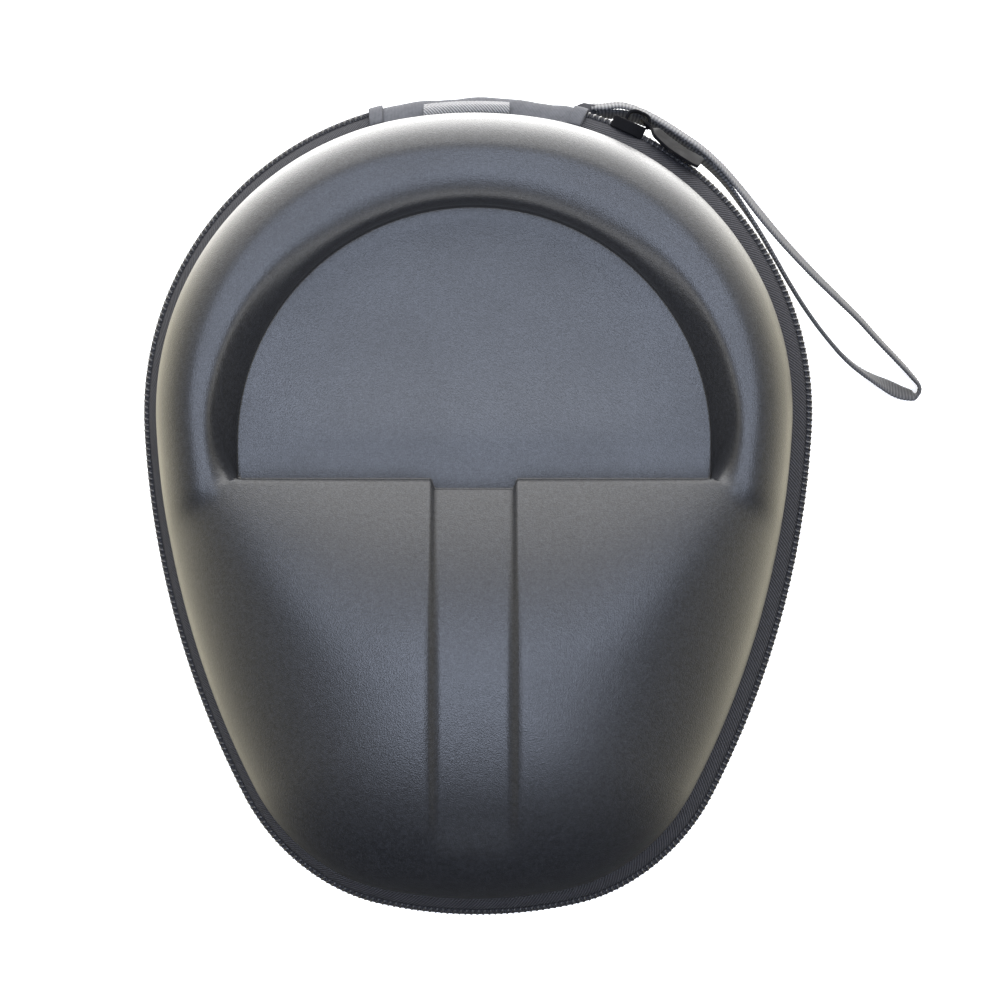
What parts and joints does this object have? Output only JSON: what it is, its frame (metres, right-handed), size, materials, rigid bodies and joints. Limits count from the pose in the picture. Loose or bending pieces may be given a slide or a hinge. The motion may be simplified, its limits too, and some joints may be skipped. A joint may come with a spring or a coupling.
{
  "type": "headphone carrying case",
  "caption": "Hard-shell zip case for over-ear headphones, with a hinged lid, moulded ear-cup block and headband arch, zip slider and wrist strap.",
  "frame": {"origin": "middle of the case's footprint, on the surface the flat back lies on; the wrist strap is left out", "axes": "+Z out of the back towards the moulded front, +Y towards the hinge end, +X to the side that the strap and the slider are on"},
  "size_m": [0.234, 0.2397, 0.0994],
  "materials": {
    "shell_leather": "semi-gloss fine grain over moulded foam",
    "lining_cloth": "matt brushed knit",
    "zip_tape": "matt twill",
    "zip_coil": "satin nylon",
    "binding": "matt tape",
    "hinge_cloth": "matt fine cloth",
    "webbing": "ribbed webbing",
    "slider_metal": "black paint, satin",
    "strap_webbing": "ribbed narrow webbing",
    "pocket_mesh": "open net",
    "elastic": "ribbed elastic"
  },
  "bodies": {
    "base": {"rear_shell": "shell_leather", "rear_lining": "lining_cloth", "rear_zip_tape": "zip_tape", "rear_zip_coil": "zip_coil", "rear_rim_binding": "binding", "hinge_cloth": "hinge_cloth", "hinge_inner_cloth": "lining_cloth", "zip_end_tab_left": "hinge_cloth", "zip_end_tab_right": "hinge_cloth", "strap_anchor": "hinge_cloth", "wrist_strap": "strap_webbing"},
    "lid": {"front_shell": "shell_leather", "front_lining": "lining_cloth", "front_zip_tape": "zip_tape", "front_zip_coil": "zip_coil", "front_rim_binding": "binding", "webbing_loop": "webbing", "mesh_pocket": "pocket_mesh", "pocket_elastic": "elastic", "pocket_binding": "binding"},
    "slider": {"zip_slider": "slider_metal"},
    "puller": {"zip_puller": "slider_metal"}
  },
  "joints": [
    {"name": "lid_hinge", "type": "hinge", "parent": "base", "child": "lid", "pos_m": [0, 0.121, 0.05], "axis": [-1, 0, 0], "range_deg": [0, 180], "deforming": ["hinge_cloth", "hinge_inner_cloth", "zip_end_tab_left", "zip_end_tab_right", "front_zip_coil", "front_zip_tape"]},
    {"name": "slider_travel", "type": "hinge", "parent": "base", "child": "slider", "pos_m": [0.00625, 0.02735, 0.05], "axis": [0, 0, -1], "range_deg": [0, 60]},
    {"name": "puller_swing", "type": "hinge", "parent": "slider", "child": "puller", "pos_m": [0.04854, 0.11348, 0.05], "axis": [0, 0, 1], "range_deg": [0, 115]}
  ]
}
